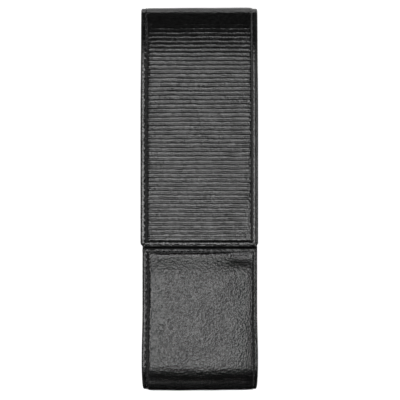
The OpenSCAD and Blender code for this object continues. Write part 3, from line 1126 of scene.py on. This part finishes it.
for piece, half, s_from, s_to, held, under_it in (
    (wall_suede, SIDE_X, START["facing"], END["wall"], "stretched", "wall_board"),
    (pocket_suede, SIDE_X, START["back"], START["facing"], "folded", "inner_pocket"),
    (top_suede, HOLLOW, MID_BRIDGE, END["back_fold"], "folded", "pocket_strip"),
    (flap_suede, HOLLOW + 0.28, END_HEM_W + LEATHER_T, MID_BRIDGE, "stretched", "flap_board"),
    (pocket_sheet, BODY_HALF, START["back"], END["wall"], "folded", "pocket_strip"),
):
    print(piece.name, "is cut", [round(c / MM, 1) for c in cut_size(half, s_from, s_to)], "mm")

# %% [markdown]
# ## The scene
# The case lies on a pale table under one large soft light, as in a catalogue. The camera looks
# straight down on it. Black leather shows mostly what it reflects, so the light's size and place
# draw its shape: the padded faces reflect the soft light and the turned ends don't. Two low strip
# lights, one beyond each end, draw a thin line on the round bottom and on the folded top.

# %% Camera
scene = bpy.context.scene
CAMERA_H = 0.923
camera_data = bpy.data.cameras.new("camera")
camera_data.sensor_width = 36
camera_data.lens = 195.2
camera = bpy.data.objects.new("camera", camera_data)
camera.location = (0.0003, -0.0004, CAMERA_H)
scene.collection.objects.link(camera)
scene.camera = camera
scene.view_settings.view_transform = "Standard"
print("the camera is", CAMERA_H, "m above the table")

# %% Table and lights
def glow(name, strength, ramp=None):
    """A white light, even or with a ramp (y where it starts, y where it ends, strength there)."""
    finish, tree = new_finish(name)
    level = strength
    if ramp:
        place = add(tree, "ShaderNodeTexCoord").outputs["Object"]
        y = add(tree, "ShaderNodeSeparateXYZ", [(0, place)]).outputs["Y"]
        level = add(tree, "ShaderNodeMapRange", [
            ("Value", y), ("From Min", ramp[0]), ("From Max", ramp[1]),
            ("To Min", strength), ("To Max", ramp[2]),
        ], interpolation_type="SMOOTHSTEP").outputs["Result"]
    light = add(tree, "ShaderNodeEmission", [("Color", colour("#ffffff")), ("Strength", level)])
    add(tree, "ShaderNodeOutputMaterial", [("Surface", light.outputs[0])])
    return finish


def board_on_stage(name, centre, size, finish, tilt=(0, 0, 0), seen=True):
    """A flat board that belongs to the studio and not to the case."""
    deselect()
    bpy.ops.mesh.primitive_plane_add(size=1, location=centre, rotation=tilt)
    piece = called(name)
    piece.scale = (*size, 1)
    piece.data.materials.append(finish)
    piece.visible_camera = seen
    return piece


LAMP_H = 1.6
board_on_stage(
    "overhead_softbox", (-0.05, 0.065, LAMP_H), (0.5, 0.87),
    glow("softbox_cloth", 9.1, ramp=(-0.222, 0.333, 1.3)), seen=False,
)
table_finish, table_tree = new_finish("white_table")
table_light = add(table_tree, "ShaderNodeEmission", [("Strength", 0.8)])
table_paint = add(table_tree, "ShaderNodeBsdfDiffuse", [("Color", colour("#f4f4f4"))])
table_both = add(table_tree, "ShaderNodeAddShader", [
    (0, table_light.outputs[0]), (1, table_paint.outputs[0]),
])
add(table_tree, "ShaderNodeOutputMaterial", [("Surface", table_both.outputs[0])])
board_on_stage("table", (0, 0, -0.0004), (6, 6), table_finish)

# A black card by the round bottom keeps the white of the table out of its shine.
card_finish, card_tree = new_finish("black_card")
card_paint = add(card_tree, "ShaderNodeBsdfDiffuse", [("Color", colour("#050505"))])
add(card_tree, "ShaderNodeOutputMaterial", [("Surface", card_paint.outputs[0])])
card = board_on_stage("black_card", (0, BOTTOM_Y * MM - 0.31, 0.0005), (0.5, 0.6), card_finish, seen=False)
card.visible_diffuse = False
card.visible_shadow = False
board_on_stage(
    "low_strip_light", (-0.27, -1.0, 0.6), (0.5, 0.14), glow("strip_cloth", 3.2),
    tilt=(math.radians(60), 0, 0), seen=False,
)
board_on_stage(
    "top_strip_light", (0.0, 1.2, 0.3), (1.2, 0.4), glow("top_strip_cloth", 2.4),
    tilt=(math.radians(-75), 0, 0), seen=False,
)
print("the soft light hangs", LAMP_H, "m above the table")

# %% [markdown]
# The studio around the case is dim. It is brighter towards the top end and low down, and brighter
# again at the two sides, so that the turned edges don't go quite black.

# %% Surroundings
world = bpy.data.worlds.new("studio")
scene.world = world
world.use_nodes = True
studio = world.node_tree
studio.nodes.clear()
sky = add(studio, "ShaderNodeTexCoord").outputs["Generated"]
way = add(studio, "ShaderNodeSeparateXYZ", [(0, sky)])
dim = add(studio, "ShaderNodeMapRange", [
    ("Value", way.outputs["Z"]), ("From Min", 0.05), ("From Max", 0.45), ("To Min", 0.6), ("To Max", 0.06),
], interpolation_type="SMOOTHSTEP")
turned = add(studio, "ShaderNodeMapRange", [
    ("Value", way.outputs["Y"]), ("From Min", -0.6), ("From Max", 0.3), ("To Min", 0.03), ("To Max", 0.6),
], interpolation_type="SMOOTHSTEP")
ends = add(studio, "ShaderNodeMath", [
    (0, dim.outputs["Result"]), (1, turned.outputs["Result"]),
], operation="MULTIPLY")
across = add(studio, "ShaderNodeMath", [(0, way.outputs["X"])], operation="ABSOLUTE")
sides = add(studio, "ShaderNodeMapRange", [
    ("Value", across.outputs[0]), ("From Min", 0.35), ("From Max", 0.85), ("To Min", 0.0), ("To Max", 0.55),
], interpolation_type="SMOOTHSTEP")
level = add(studio, "ShaderNodeMath", [
    (0, ends.outputs[0]), (1, sides.outputs["Result"]),
], operation="ADD")
background = add(studio, "ShaderNodeBackground", [("Strength", level.outputs[0])])
add(studio, "ShaderNodeOutputWorld", [("Surface", background.outputs[0])])
print("the studio's light uses", len(studio.nodes), "nodes")
